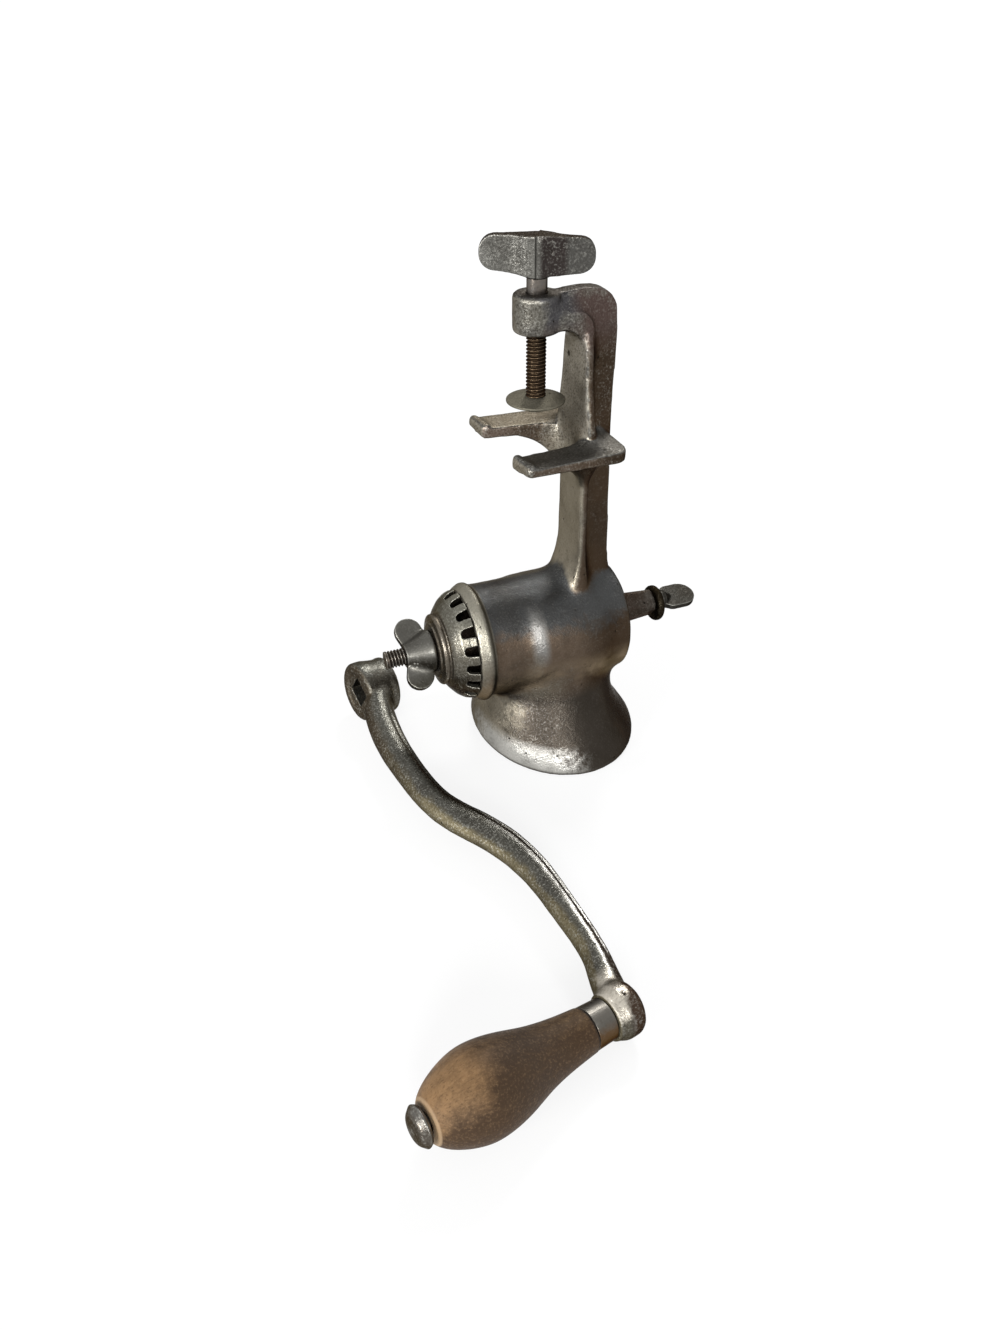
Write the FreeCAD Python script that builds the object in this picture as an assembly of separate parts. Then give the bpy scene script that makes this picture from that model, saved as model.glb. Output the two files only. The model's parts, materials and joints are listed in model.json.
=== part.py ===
import FreeCAD, Part
import math
import os

# Hand-cranked meat grinder, standing upside down on its hopper rim with the crank laid
# beside it. Origin: centre of the hopper mouth. +X runs along the feed axis from the
# cutter to the crank shaft, +Z up from the rim towards the table clamp. Millimetres.

V = FreeCAD.Vector
X_AXIS = V(1, 0, 0)
Z_AXIS = V(0, 0, 1)

# Driving dimensions
FEED_Z = 52.9               # height of the feed axis over the rim plane
RIM_HALF_X = 37.4           # half length of the oval hopper mouth along the feed axis
RIM_HALF_Y = 46.7           # half width of the mouth across it
WALL = 3.0                  # casting wall
BARREL_R = 25.3             # outside of the barrel
BORE_R = 22.0               # inside of the barrel
BEAD_R = 26.9               # rolled ring round the barrel's mouth
FRONT_X = -43.8             # front face of the barrel
BORE_END_X = 24.4           # inner face of the rear wall
REAR_X = 28.1               # back of the barrel
BEARING_X = 31.0            # back of the bearing boss
FLANGE_X = 6.5              # clamp side of the post's flange
FLANGE_BACK_X = 10.0
RIB_HALF = 3.6              # half thickness of the web behind the flange
JAW_Z = 145.0               # clamping face of the fixed jaw
JAW_THICK = 4.4
SCREW_X = -9.8              # clamp screw axis
BOSS_BASE_Z = 187.6         # clamp screw boss, lower and upper face
YOKE_TOP_Z = 202.4
PAD_Z = 157.7               # pressing face of the clamp pad, as it stands open
THREAD_R = 3.97             # five-sixteenths screw, crest radius
THREAD_PITCH = 25.4 / 18    # eighteen threads an inch
THREAD_DEPTH = 0.76
JOURNAL_R = 7.5             # feed screw journal in the casting
SQUARE_ROOT = 13.0          # tapered square for the crank, across flats at its root
SQUARE_TIP = 10.0
SQUARE_END_X = 50.4
STUD_END_X = -79.9          # front end of the cutter stud
CUTTER_FACE_X = -58.2       # cutter hub face that the wing nut bears on
RUNNING = 0.05              # radial clearance of a shaft in its hole
GAP = 0.15                  # face clearance between pieces that turn on each other

feed_axis = V(0, 0, FEED_Z)
screw_axis = V(SCREW_X, 0, 0)


def rounded_loop(corners, place):
    """Closed wire through plane corners (u, v, radius); place(u, v) puts it in space."""
    count = len(corners)
    stations = []
    for index, (u, v, radius) in enumerate(corners):
        here = V(u, v, 0)
        before = V(corners[index - 1][0], corners[index - 1][1], 0) - here
        after = V(corners[(index + 1) % count][0], corners[(index + 1) % count][1], 0) - here
        before.normalize()
        after.normalize()
        if radius <= 0:
            stations.append((here, None, here))
            continue
        half = before.getAngle(after) / 2
        reach = radius / math.tan(half)
        inward = (before + after).normalize()
        middle = here + inward * (radius / math.sin(half) - radius)
        stations.append((here + before * reach, middle, here + after * reach))
    edges = []
    for index, (entry, middle, leave) in enumerate(stations):
        came_from = stations[index - 1][2]
        if (entry - came_from).Length > 1e-6:
            line = Part.LineSegment(place(came_from.x, came_from.y), place(entry.x, entry.y))
            edges.append(line.toShape())
        if middle is not None:
            points = [place(point.x, point.y) for point in (entry, middle, leave)]
            edges.append(Part.Arc(*points).toShape())
    return Part.Wire(Part.__sortEdges__(edges))


def slab(corners, place, depth):
    """Plate with a rounded outline, pushed through the vector depth."""
    return Part.Face(rounded_loop(corners, place)).extrude(depth)


def turned(profile, centre, axis, across):
    """Solid of revolution. Profile corners are (along the axis, radius, corner radius)."""
    def place(along, radius):
        return centre + axis * along + across * radius
    return Part.Face(rounded_loop(profile, place)).revolve(centre, axis, 360)


def turned_on_feed(profile):
    return turned(profile, feed_axis, X_AXIS, Z_AXIS)


def turned_on_screw(profile):
    return turned(profile, screw_axis, Z_AXIS, X_AXIS)


def rod(radius, start, axis, length):
    return Part.makeCylinder(radius, length, start, axis)


def joined(first, *others):
    return first.fuse(list(others)).removeSplitter()


def loft(wires):
    return Part.makeLoft(wires, True, False)


def oval(height, half_x, half_y, centre_x=0.0):
    """Horizontal ellipse as a wire."""
    centre = V(centre_x, 0, height)
    if half_y > half_x:
        ellipse = Part.Ellipse(centre + V(0, half_y, 0), centre + V(half_x, 0, 0), centre)
    else:
        ellipse = Part.Ellipse(centre + V(half_x, 0, 0), centre + V(0, half_y, 0), centre)
    return Part.Wire(ellipse.toShape())


def threads(start, end, crest=THREAD_R, pitch=THREAD_PITCH, depth=THREAD_DEPTH):
    """Crests and roots of a V thread as profile corners from start to end."""
    turns = int(abs(end - start) / pitch)
    step = pitch if end > start else -pitch
    corners = []
    for turn in range(turns):
        corners.append((start + turn * step, crest, 0))
        corners.append((start + (turn + 0.5) * step, crest - depth, 0))
    corners.append((start + turns * step, crest, 0))
    return corners


# Hopper and neck, from the rim at the floor up into the barrel:
# (height, half length, half width, centre along X)
HOPPER_STATIONS = (
    (2.2, RIM_HALF_X, RIM_HALF_Y, 0.0),
    (9.7, 34.1, 42.8, -1.6),
    (17.0, 30.9, 37.6, -2.4),
    (24.0, 28.9, 32.5, -2.0),
    (33.0, 27.6, 28.0, -1.0),
    (42.0, 26.8, 27.3, -0.6),
    (FEED_Z, 26.2, 27.5, -0.4),
)


def hopper_outside():
    lip = loft([oval(0.0, RIM_HALF_X - 0.5, RIM_HALF_Y - 0.5), oval(0.8, RIM_HALF_X, RIM_HALF_Y)])
    band = loft([oval(0.8, RIM_HALF_X, RIM_HALF_Y), oval(2.2, RIM_HALF_X, RIM_HALF_Y)])
    return joined(lip, band, loft([oval(*station) for station in HOPPER_STATIONS]))


def hopper_inside():
    stations = [(0.0, RIM_HALF_X - WALL, RIM_HALF_Y - WALL, 0.0)]
    for height, half_x, half_y, centre_x in HOPPER_STATIONS[1:-1]:
        stations.append((height, half_x - WALL - 0.8, half_y - WALL - 0.8, centre_x))
    stations.append((FEED_Z, 20.0, 17.0, 0.0))
    return loft([oval(*station) for station in stations])


def barrel_outside():
    return turned_on_feed([
        (FRONT_X, 0, 0),
        (FRONT_X, BARREL_R - 0.5, 0.6),
        (FRONT_X + 3.4, BEAD_R, 2.6),
        (FRONT_X + 5.4, BEAD_R, 1.2),
        (FRONT_X + 6.6, BARREL_R, 0.8),
        (REAR_X, BARREL_R, 2.4),
        (REAR_X, 12.5, 1.5),
        (BEARING_X, 10.5, 1.2),
        (BEARING_X, 0, 0),
    ])


# Swell of the casing where the hopper's neck runs up the sides of the barrel:
# (place along the feed axis, half width, half height)
SWELL_STATIONS = (
    (-21.4, 24.5, 24.5),
    (-19.5, 25.7, 24.9),
    (-16.5, 27.3, 25.1),
    (-13.0, 27.8, 25.2),
    (10.0, 27.8, 25.2),
    (16.0, 27.0, 25.1),
    (19.5, 25.6, 24.9),
    (22.5, 24.4, 24.4),
)


def side_swell():
    sections = []
    for x, half_y, half_z in SWELL_STATIONS:
        centre = V(x, 0, FEED_Z)
        ellipse = Part.Ellipse(centre + V(0, half_y + 0.01, 0), centre + V(0, 0, half_z), centre)
        sections.append(Part.Wire(ellipse.toShape()))
    return loft(sections)


# Post and clamp frame: a T in section, its flat flange towards the clamp screw and its
# web behind. The jaw forks out of it half way up.

def flange_section(height, half_width, front=FLANGE_X, back=FLANGE_BACK_X, corner=1.6):
    return rounded_loop([
        (front, -half_width, corner),
        (back, -half_width, corner),
        (back, half_width, corner),
        (front, half_width, corner),
    ], lambda u, v: V(u, v, height))


def post_flange():
    foot = loft([
        flange_section(66, 17.0, -4.0, 15.0, 3.6),
        flange_section(77, 13.8, 2.4, 12.0, 2.8),
        flange_section(87, 12.4, 5.6, 10.4),
        flange_section(97, 12.0),
    ])
    shaft = loft([flange_section(97, 12.0), flange_section(126, 11.7)])
    upper = loft([
        flange_section(126, 11.7),
        flange_section(138, 15.7, 6.5, 10.6),
        flange_section(144, 16.2, 6.5, 10.6),
        flange_section(150, 15.6, 6.5, 10.4),
        flange_section(160, 13.4, 6.5, 10.2),
        flange_section(174, 11.6, 6.5, 10.2),
        flange_section(188, 8.6, 6.5, 10.4),
    ])
    return joined(foot, shaft, upper)


def frame_web():
    """Web behind the flange and over the top to the screw boss."""
    return slab([
        (9.0, 66, 2),
        (27.0, 66, 2),
        (24.4, 88, 30),
        (23.3, 120, 60),
        (22.6, 150, 60),
        (23.3, 178, 40),
        (22.8, 201.4, 10.5),
        (9, 202.9, 12),
        (SCREW_X, YOKE_TOP_Z - 1.0, 0),
        (SCREW_X, 190.5, 0),
        (3.0, 190.5, 7),
        (9.0, 181, 10),
    ], lambda u, v: V(u, -RIB_HALF, v), V(0, 2 * RIB_HALF, 0))


def frame_arm():
    """Flange carried round the inside of the bend and out to the screw boss."""
    return slab([
        (11.2, 178, 1),
        (11.4, 196.5, 8.5),
        (SCREW_X, 195.0, 0),
        (SCREW_X, 188.4, 0),
        (0.0, 189.0, 6),
        (6.4, 185.0, 6),
        (6.4, 178, 1),
    ], lambda u, v: V(u, -8.2, v), V(0, 16.4, 0))


def screw_boss():
    return turned_on_screw([
        (BOSS_BASE_Z, 0, 0),
        (BOSS_BASE_Z, 9.3, 1.6),
        (YOKE_TOP_Z, 9.3, 1.8),
        (YOKE_TOP_Z, 0, 0),
    ])


def jaw_section(x, inner, outer):
    """Underside of the plate falls from its outer edges towards the fork."""
    corners = []
    for y, depth in ((-32, 0), (32, 0), (32, outer), (14, inner), (-14, inner), (-32, outer)):
        corners.append(V(x, y, JAW_Z - depth))
    return Part.makePolygon(corners + corners[:1])


def jaw():
    """Forked jaw plate, deeper towards the post, with a low lip along each prong's tip."""
    outline = slab([
        (-25.0, -30.3, 1.8),
        (19.7, -27.2, 6.4),
        (19.7, 27.2, 6.4),
        (-28.2, 30.3, 1.6),
        (-26.6, 15.6, 1.6),
        (-1.0, 13.0, 6.0),
        (6.2, 9.0, 3.0),
        (6.2, -9.0, 3.0),
        (-1.0, -13.0, 6.0),
        (-26.8, -15.6, 1.6),
    ], lambda u, v: V(u, v, JAW_Z - 20), V(0, 0, 20))
    plate = Part.makeLoft([jaw_section(-30, 4.4, 2.7), jaw_section(20, 5.6, JAW_THICK)], True, True)
    gusset = loft([
        flange_section(120, 10.0, 6.6, 9.8, 1.4),
        flange_section(130, 14.0, 3.4, 11.0, 3.0),
        flange_section(137, 19.0, -4.0, 12.0, 4.0),
        flange_section(JAW_Z - JAW_THICK + 0.5, 22.5, -16.0, 12.6, 5.0),
    ])
    lips = []
    for start, run in (((-0.2, -16.0), (1.3, -13.0)), ((-0.1, 16.0), (-1.6, 13.0))):
        lips.append(slab([
            (-26.3, JAW_Z - 2.4, 0.6),
            (-21.8, JAW_Z - 2.4, 0.2),
            (-22.9, JAW_Z + 1.4, 0.7),
            (-25.8, JAW_Z + 1.4, 0.9),
        ], lambda u, v: V(u + start[0], start[1], v), V(*run, 0)))
    return joined(outline.common(plate), gusset.common(joined(outline, post_core())), *lips)


def post_core():
    """Space of the post where it passes the jaw, kept when the fork is cut."""
    return slab([
        (FLANGE_X, -16, 1.6),
        (18.4, -16, 2),
        (18.4, 16, 2),
        (FLANGE_X, 16, 1.6),
    ], lambda u, v: V(u, v, 110), V(0, 0, 50))


def body_casting():
    frame = [post_flange(), frame_web(), frame_arm(), screw_boss(), jaw()]
    solid = joined(barrel_outside(), side_swell(), hopper_outside(), *frame)
    bore = turned_on_feed([
        (FRONT_X - 1, 0, 0),
        (FRONT_X - 1, BORE_R, 0),
        (BORE_END_X, BORE_R, 3.0),
        (BORE_END_X, 0, 0),
    ])
    bearing = rod(JOURNAL_R + RUNNING, V(20, 0, FEED_Z), X_AXIS, 30)
    tapped = rod(THREAD_R + RUNNING, V(SCREW_X, 0, 180), Z_AXIS, 30)
    return solid.cut([hopper_inside(), bore, bearing, tapped])


# Feed screw with everything that turns on its axis

WORM_FRONT_X = -42.4
WORM_BACK_X = 24.2
WORM_R = 21.4
SHOULDER_X = -47.8          # front end of the core, where the cutter's square begins
CUTTER_SQUARE = 11.0
WORM_PITCH = 17.0


def worm_flight():
    """Right-handed flight, thick at its root, wound round the core."""
    length = WORM_BACK_X - 5.0 - WORM_FRONT_X
    helix = Part.makeHelix(WORM_PITCH, length, WORM_R - 6.0)
    root = WORM_R - 14.0
    section = Part.makePolygon([
        V(root, 0, -2.6),
        V(WORM_R, 0, -1.2),
        V(WORM_R, 0, 1.2),
        V(root, 0, 2.6),
        V(root, 0, -2.6),
    ])
    flight = Part.Wire(helix).makePipeShell([section], True, True)
    flight.rotate(V(0, 0, 0), V(0, 1, 0), 90)
    flight.translate(V(WORM_FRONT_X + 1.5, 0, FEED_Z))
    return flight


def square_bar(centre, axis, lengths, widths, turn=0):
    """Square bar along an axis, between two distances, each with its width across flats."""
    side = axis.cross(Z_AXIS).normalize()
    upright = side.cross(axis)
    ends = []
    for along, across in zip(lengths, widths):
        half = across / 2
        corners = []
        for right, up in ((-half, -half), (half, -half), (half, half), (-half, half)):
            corners.append(centre + axis * along + side * right + upright * up)
        ends.append(Part.makePolygon(corners + corners[:1]))
    bar = Part.makeLoft(ends, True, True)
    bar.rotate(centre, axis, turn)
    return bar


def crank_square():
    """Tapered square for the crank, its corners turned off to the journal's size."""
    start = BEARING_X + 0.6
    blank = turned_on_feed([
        (start, 0, 0),
        (start, JOURNAL_R, 0),
        (SQUARE_END_X - 0.6, 6.3, 0),
        (SQUARE_END_X, 5.7, 0),
        (SQUARE_END_X, 0, 0),
    ])
    bar = square_bar(feed_axis, X_AXIS, (start, SQUARE_END_X), (SQUARE_ROOT, SQUARE_TIP), 40)
    return blank.common(bar)


def feed_screw():
    core = turned_on_feed([
        (SHOULDER_X, 0, 0),
        (SHOULDER_X, 9.4, 0.8),
        (WORM_FRONT_X, 9.6, 0),
        (WORM_BACK_X - 7, 9.6, 5),
        (WORM_BACK_X - 5, 16.0, 2),
        (WORM_BACK_X, 16.0, 0.6),
        (WORM_BACK_X, JOURNAL_R, 0),
        (BEARING_X + 0.6, JOURNAL_R, 0),
        (BEARING_X + 0.6, 0, 0),
    ])
    cutter_drive = rod(7.1, V(SHOULDER_X, 0, FEED_Z), -X_AXIS, 7.6).common(
        square_bar(feed_axis, X_AXIS, (SHOULDER_X - 8, SHOULDER_X + 1), (CUTTER_SQUARE, CUTTER_SQUARE)))
    solid = joined(core, cutter_drive, crank_square(), worm_flight())
    stud_hole = rod(THREAD_R, V(SHOULDER_X - 20, 0, FEED_Z), X_AXIS, 36)
    thumb_hole = rod(THUMB_R + RUNNING, V(SQUARE_END_X - 14, 0, FEED_Z), X_AXIS, 20)
    return solid.cut([stud_hole, thumb_hole])


def cutter_stud():
    corners = [(SHOULDER_X + 16, 0, 0), (SHOULDER_X + 16, THREAD_R, 0)]
    corners += threads(CUTTER_FACE_X + 2, STUD_END_X + 0.8)
    corners += [(STUD_END_X, THREAD_R - 0.9, 0), (STUD_END_X, 0, 0)]
    return turned_on_feed(corners)


CUTTER_SLOTS = 18
SLOT_END_X = -49.6
SLOT_TURN = 6


def rotary_cutter():
    """Bell-shaped cutter, notched round the rim that turns against the barrel's face."""
    rim = FRONT_X - GAP
    bell = turned_on_feed([
        (rim, 0, 0),
        (rim, 25.0, 0.4),
        (-47.2, 24.0, 6),
        (-50.2, 21.9, 5),
        (-52.8, 18.9, 1.5),
        (-53.9, 17.3, 0.4),
        (-54.4, 15.3, 0.3),
        (-55.0, 15.8, 0.3),
        (-56.8, 16.3, 1.2),
        (-57.5, 12.8, 0.4),
        (CUTTER_FACE_X, 12.0, 0.5),
        (CUTTER_FACE_X, 0, 0),
    ])
    hollow = turned_on_feed([
        (rim + 1, 0, 0),
        (rim + 1, 22.6, 0),
        (-47.0, 21.4, 4),
        (-50.8, 17.6, 3),
        (-52.4, 13.0, 1),
        (-51.8, 10.6, 1),
        (SHOULDER_X - 0.2, 10.0, 0),
        (SHOULDER_X - 0.2, 0, 0),
    ])
    slots = []
    for index in range(CUTTER_SLOTS):
        slot = slab([
            (rim + 1, -2.3, 0),
            (rim + 1, 2.5, 0),
            (SLOT_END_X, 1.8, 1.6),
            (SLOT_END_X, -1.7, 1.6),
        ], lambda u, v: V(u, v, FEED_Z + 14), V(0, 0, 14))
        slot.rotate(feed_axis, X_AXIS, SLOT_TURN + 360.0 / CUTTER_SLOTS * index)
        slots.append(slot)
    socket = rod(7.2, V(CUTTER_FACE_X - 1, 0, FEED_Z), X_AXIS, 20).common(
        square_bar(feed_axis, X_AXIS, (CUTTER_FACE_X - 1, -40), (CUTTER_SQUARE + 0.2, CUTTER_SQUARE + 0.2)))
    return bell.cut([hollow, socket] + slots)


NUT_LENGTH = 12.6
NUT_TURN = -50


def wing_nut():
    base = CUTTER_FACE_X - GAP
    hub = turned_on_feed([
        (base, 0, 0),
        (base, 9.9, 1.0),
        (base - 2.4, 9.4, 2),
        (base - NUT_LENGTH, 5.3, 0.8),
        (base - NUT_LENGTH, 0, 0),
    ])
    ears = []
    for turn in (0, 180):
        ear = slab([
            (base - 0.4, 3, 0),
            (base - 3.0, 16.2, 6.4),
            (base - 16.4, 16.6, 5.7),
            (base - 12.0, 3, 0),
        ], lambda u, v: V(u, -1.8, FEED_Z + v), V(0, 3.6, 0))
        ear.rotate(feed_axis, X_AXIS, turn + NUT_TURN)
        ears.append(ear)
    bore = rod(THREAD_R + RUNNING, V(base - 30, 0, FEED_Z), X_AXIS, 40)
    return joined(hub, *ears).cut(bore)


# Thumb screw that holds the crank on its square, with its loose washer

THUMB_R = 2.9
WASHER_THICK = 4.0
WASHER_BORE_R = 3.9
WASHER_X = SQUARE_END_X + GAP


def thumb_screw_washer():
    """Thick loose washer, hanging on the thumb screw's shank."""
    drop = V(0, 0, THUMB_R + RUNNING - WASHER_BORE_R)
    ring = turned([
        (WASHER_X, 0, 0),
        (WASHER_X, 8.4, 1.8),
        (WASHER_X + WASHER_THICK, 8.4, 1.8),
        (WASHER_X + WASHER_THICK, 0, 0),
    ], feed_axis + drop, X_AXIS, Z_AXIS)
    return ring.cut(rod(WASHER_BORE_R, feed_axis + drop + X_AXIS * 45, X_AXIS, 15))


def thumb_screw():
    seat = WASHER_X + WASHER_THICK + GAP
    shank = [(SQUARE_END_X - 12, 0, 0), (SQUARE_END_X - 12, THUMB_R - 0.6, 0)]
    shank += threads(SQUARE_END_X - 11, SQUARE_END_X - 1, THUMB_R, 1.27, 0.55)
    shank += [(seat, THUMB_R, 0), (seat, 4.8, 1.0), (seat + 2.6, 4.4, 1.2)]
    shank += [(seat + 7, 1.0, 0), (seat + 7, 0, 0)]
    spade = slab([
        (seat + 0.4, -3.6, 1.5),
        (seat + 4.6, -6.8, 4.5),
        (seat + 18.4, -6.8, 6.7),
        (seat + 18.4, 6.8, 6.7),
        (seat + 4.6, 6.8, 4.5),
        (seat + 0.4, 3.6, 1.5),
    ], lambda u, v: V(u, v, FEED_Z - 1.4), V(0, 0, 2.8))
    spade.rotate(feed_axis, X_AXIS, 13)
    return joined(turned_on_feed(shank), spade)


# Table clamp

PAD_R = 11.8
PAD_TOP_Z = PAD_Z + 5.0
SCREW_TIP_Z = PAD_Z + 1.6
NECK_Z = 202.9
NECK_R = 3.55
WING_BASE_Z = 207.6
WING_TOP_Z = 223.4


def clamp_pad():
    """Swivel disc, dished underneath, with a socket for the screw's tip."""
    disc = turned_on_screw([
        (PAD_Z, 0, 0),
        (PAD_Z, 5.5, 1.0),
        (PAD_Z + 2.7, PAD_R, 0.4),
        (PAD_Z + 3.6, PAD_R, 0.4),
        (PAD_TOP_Z, 5.4, 0.8),
        (PAD_TOP_Z, 0, 0),
    ])
    return disc.cut(rod(THREAD_R + RUNNING, V(SCREW_X, 0, SCREW_TIP_Z - GAP), Z_AXIS, 10))


def clamp_screw():
    corners = [(SCREW_TIP_Z, 0, 0), (SCREW_TIP_Z, THREAD_R - 0.6, 0.3), (SCREW_TIP_Z + 1, THREAD_R, 0)]
    corners += threads(PAD_TOP_Z - 1.0, NECK_Z - 1.6)
    corners += [(NECK_Z - 1.2, NECK_R, 0), (WING_TOP_Z - 3, NECK_R, 0), (WING_TOP_Z - 3, 0, 0)]
    return turned_on_screw(corners)


WING_YAW = -21
WING_HALF = 21.6


def clamp_wing():
    """Cast wing head, S-shaped in plan: each lobe runs past its own side of the hub."""
    def in_plan(u, v):
        return V(SCREW_X + u, v, WING_BASE_Z - 1)

    def upright(u, v):
        return V(SCREW_X + u, -20, v)

    half_plan = [
        (-WING_HALF - 1, 0.6, 0),
        (-WING_HALF - 1, -2.2, 0),
        (-9.0, -2.4, 8),
        (-4.6, -5.6, 3),
        (-0.8, -6.3, 0.6),
        (-0.8, -4.6, 0.3),
    ]
    plan = slab(half_plan + [(-u, -v, radius) for u, v, radius in half_plan], in_plan, V(0, 0, 30))
    outline = slab([
        (-WING_HALF, 211.4, 5.8),
        (0, WING_BASE_Z + 0.6, 20),
        (WING_HALF, 209.2, 5.9),
        (WING_HALF, 221.5, 5.9),
        (0, WING_TOP_Z - 0.3, 20),
        (-WING_HALF, 223.4, 5.8),
    ], upright, V(0, 40, 0))
    hub = turned_on_screw([
        (WING_BASE_Z, 0, 0),
        (WING_BASE_Z, 5.0, 1.0),
        (WING_TOP_Z - 0.6, 5.0, 2.0),
        (WING_TOP_Z - 0.6, 0, 0),
    ])
    shank = rod(NECK_R, V(SCREW_X, 0, WING_BASE_Z - 1), Z_AXIS, WING_TOP_Z - 2 - WING_BASE_Z)
    wing = joined(hub, plan.common(outline)).cut(shank)
    wing.rotate(screw_axis, Z_AXIS, WING_YAW)
    return wing


# Crank, lying flat: hub and grip axes nearly level, arm bent sideways between them

CRANK_YAW = math.radians(14.0)                 # heading of both axes, from the open face inwards
CRANK_DIP = math.radians(5.1)
CRANK_AXIS = V(math.cos(CRANK_YAW) * math.cos(CRANK_DIP), math.sin(CRANK_YAW) * math.cos(CRANK_DIP),
               -math.sin(CRANK_DIP))
CRANK_SIDE = CRANK_AXIS.cross(V(0, 1, 0)).normalize()
HUB_FACE = V(-87.3, 31.6, 15.8)
HUB_LENGTH = 16.8
HUB_R = 14.3
BOSS_JOINT = V(-56.0, -173.4, 11.1)            # boss face that the ferrule turns against
BOSS_R = 9.9
BOSS_LENGTH = 12.0
PIN_R = 2.8
# Arm centre line and section: (x, y, z, half width level, half depth upright)
ARM_STATIONS = (
    (-76.4, 27.0, 15.0, 6.0, 9.0),
    (-79.8, 20.0, 14.6, 6.7, 8.4),
    (-81.4, 12.0, 14.1, 7.0, 7.8),
    (-82.1, 0.0, 13.4, 7.1, 7.0),
    (-81.7, -14.0, 12.8, 7.0, 6.4),
    (-80.0, -28.0, 12.3, 6.7, 6.0),
    (-77.6, -42.0, 11.8, 6.6, 5.8),
    (-73.7, -55.0, 11.5, 6.8, 5.6),
    (-67.6, -66.0, 11.2, 7.3, 5.5),
    (-61.0, -76.0, 10.9, 7.4, 5.3),
    (-55.2, -88.0, 10.7, 7.0, 5.2),
    (-51.2, -102.0, 10.6, 6.3, 5.1),
    (-49.1, -118.0, 10.5, 5.7, 5.1),
    (-47.9, -134.0, 10.6, 5.2, 5.3),
    (-47.7, -150.0, 10.8, 5.1, 5.6),
    (-48.6, -170.0, 11.0, 5.4, 6.2),
)


def arm_section(index):
    """Oval across the arm's centre line."""
    x, y, z, half_width, half_depth = ARM_STATIONS[index]
    before = ARM_STATIONS[max(index - 1, 0)]
    after = ARM_STATIONS[min(index + 1, len(ARM_STATIONS) - 1)]
    along = V(after[0] - before[0], after[1] - before[1], 0).normalize()
    across = along.cross(Z_AXIS)
    centre = V(x, y, z)
    if half_width >= half_depth:
        ellipse = Part.Ellipse(centre + across * half_width, centre + Z_AXIS * half_depth, centre)
    else:
        ellipse = Part.Ellipse(centre + Z_AXIS * half_depth, centre + across * half_width, centre)
    return Part.Wire(ellipse.toShape())


def turned_on_crank(profile, centre):
    return turned(profile, centre, CRANK_AXIS, CRANK_SIDE)


def crank_arm():
    arm = loft([arm_section(index) for index in range(len(ARM_STATIONS))])
    arm = arm.cut(rod(HUB_R, HUB_FACE - CRANK_AXIS * 10, CRANK_AXIS, 10))
    hub = turned_on_crank([
        (0, 0, 0),
        (0, HUB_R, 1.6),
        (5.4, HUB_R, 2),
        (7.4, HUB_R - 0.4, 2),
        (HUB_LENGTH - 3.8, HUB_R - 1.3, 1.5),
        (HUB_LENGTH - 3.0, HUB_R - 0.8, 0.6),
        (HUB_LENGTH, HUB_R - 0.8, 1.6),
        (HUB_LENGTH, 0, 0),
    ], HUB_FACE)
    boss = turned_on_crank([
        (0, 0, 0),
        (0, BOSS_R - 1.6, 0.5),
        (1.2, BOSS_R - 1.4, 2),
        (4.5, BOSS_R, 4),
        (BOSS_LENGTH - 1, BOSS_R, 4),
        (BOSS_LENGTH, 5.5, 1.5),
        (BOSS_LENGTH, 0, 0),
    ], BOSS_JOINT)
    widths = (SQUARE_TIP + 0.4, SQUARE_ROOT - 0.2)
    socket = square_bar(HUB_FACE, CRANK_AXIS, (-1, HUB_LENGTH + 1), widths, 32)
    recess = turned_on_crank([(-1, 0, 0), (-1, 10.4, 0), (0.8, 9.6, 0), (0.8, 0, 0)], HUB_FACE)
    pin_hole = rod(PIN_R, BOSS_JOINT - CRANK_AXIS * 5, CRANK_AXIS, 30)
    return joined(arm, hub, boss).cut([socket, recess, pin_hole])


FERRULE_LENGTH = 8.2
FERRULE_R = 7.7
GRIP_LENGTH = 62.6
PIN_HEAD_R = 7.0
grip_base = BOSS_JOINT - CRANK_AXIS * 0.25
GRIP_AXIS = CRANK_AXIS * -1


def turned_on_grip(profile):
    return turned(profile, grip_base, GRIP_AXIS, CRANK_SIDE)


def grip_ferrule():
    return turned_on_grip([
        (0, PIN_R + RUNNING, 0),
        (0, FERRULE_R - 0.3, 0.3),
        (FERRULE_LENGTH, FERRULE_R, 0.3),
        (FERRULE_LENGTH, PIN_R + RUNNING, 0),
    ])


def grip_wood():
    """Pear-shaped turned grip, thickest towards its cap."""
    outline = Part.BSplineCurve()
    points = []
    for along, radius in (
        (0.0, 7.9), (6.0, 8.5), (14.0, 9.5), (22.0, 11.1), (30.0, 13.4), (38.0, 15.0),
        (45.0, 15.2), (51.0, 13.9), (56.0, 11.9), (60.0, 9.5), (62.2, 7.5),
    ):
        points.append(grip_base + GRIP_AXIS * (FERRULE_LENGTH + along) + CRANK_SIDE * radius)
    outline.interpolate(points)
    start = grip_base + GRIP_AXIS * FERRULE_LENGTH
    end = start + GRIP_AXIS * GRIP_LENGTH
    hole = CRANK_SIDE * (PIN_R + RUNNING)
    corners = [points[-1], end + CRANK_SIDE * 6.9, end + hole, start + hole, points[0]]
    edges = [outline.toShape()]
    for first, second in zip(corners, corners[1:]):
        edges.append(Part.LineSegment(first, second).toShape())
    face = Part.Face(Part.Wire(Part.__sortEdges__(edges)))
    return face.revolve(grip_base, GRIP_AXIS, 360)


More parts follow.
